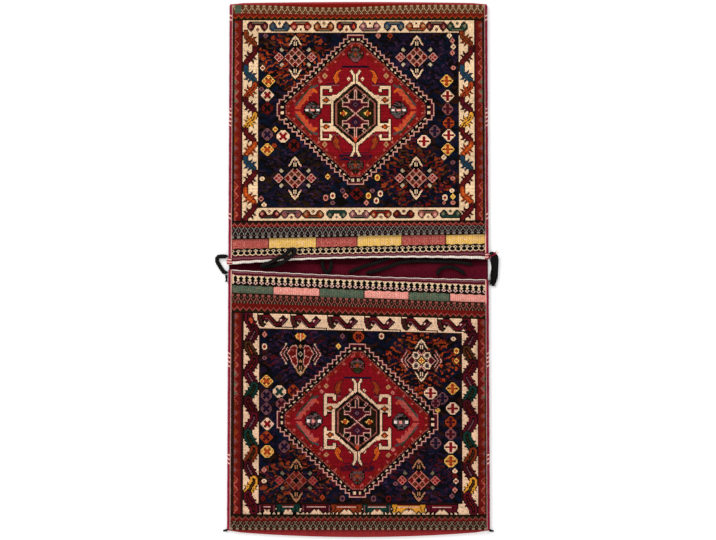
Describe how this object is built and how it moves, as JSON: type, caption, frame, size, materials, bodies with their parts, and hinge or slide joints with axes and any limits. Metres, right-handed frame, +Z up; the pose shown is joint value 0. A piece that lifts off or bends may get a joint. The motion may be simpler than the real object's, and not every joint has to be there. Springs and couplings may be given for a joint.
{
  "type": "double saddle bag",
  "caption": "Double saddle bag of knotted wool pile on a folded woven strip, with facing mouths, braided closure loops and overcast sides.",
  "frame": {"origin": "middle of the flat underside of the bridge, between the two pockets", "axes": "+Y along the strip to the upper bag's fold, +X to the right as one looks down on the pile, +Z up out of the pile"},
  "size_m": [0.6477, 1.2179, 0.0288],
  "materials": {
    "ground_weave": "matt wool",
    "grey_green_pile": "matt wool",
    "rust_pile": "matt wool",
    "cream_pile": "matt wool",
    "navy_pile": "matt wool",
    "pink_white_pile": "matt wool",
    "crimson_pile": "matt wool",
    "green_pile": "matt wool",
    "brown_pile": "matt wool",
    "salmon_pile": "matt wool",
    "crimson_binding": "matt wool",
    "lashing_wool": "matt wool",
    "goat_hair": "matt braided hair"
  },
  "bodies": {
    "root": {"upper_cloth": "ground_weave", "lower_cloth": "ground_weave", "upper_end_lattice_pile": "grey_green_pile", "upper_guard_pile": "rust_pile", "upper_border_pile": "cream_pile", "upper_field_pile": "navy_pile", "upper_lozenge_edge_pile": "pink_white_pile", "upper_lozenge_pile": "crimson_pile", "upper_hooked_hexagon_pile": "cream_pile", "upper_hexagon_centre_pile": "green_pile", "upper_mouth_lattice_pile": "brown_pile", "upper_star_fold_left_pile": "salmon_pile", "upper_star_fold_right_pile": "salmon_pile", "upper_star_mouth_left_pile": "salmon_pile", "upper_star_mouth_right_pile": "salmon_pile", "lower_end_lattice_pile": "grey_green_pile", "lower_guard_pile": "rust_pile", "lower_border_pile": "cream_pile", "lower_field_pile": "navy_pile", "lower_lozenge_edge_pile": "pink_white_pile", "lower_lozenge_pile": "crimson_pile", "lower_hooked_hexagon_pile": "cream_pile", "lower_hexagon_centre_pile": "green_pile", "lower_mouth_lattice_pile": "brown_pile", "lower_star_fold_left_pile": "salmon_pile", "lower_star_fold_right_pile": "salmon_pile", "lower_star_mouth_left_pile": "salmon_pile", "lower_star_mouth_right_pile": "salmon_pile", "binding_upper_left": "crimson_binding", "binding_upper_right": "crimson_binding", "binding_lower_left": "crimson_binding", "binding_lower_right": "crimson_binding", "lashing_left": "lashing_wool", "lashing_right": "lashing_wool", "closure_loop_1": "goat_hair", "closure_loop_2": "goat_hair", "closure_loop_3": "goat_hair", "closure_loop_4": "goat_hair", "closure_loop_5": "goat_hair", "left_tie": "goat_hair", "right_tassel": "goat_hair", "left_tuft": "goat_hair", "corner_knot_left": "goat_hair", "corner_knot_right": "goat_hair"}
  },
  "joints": []
}
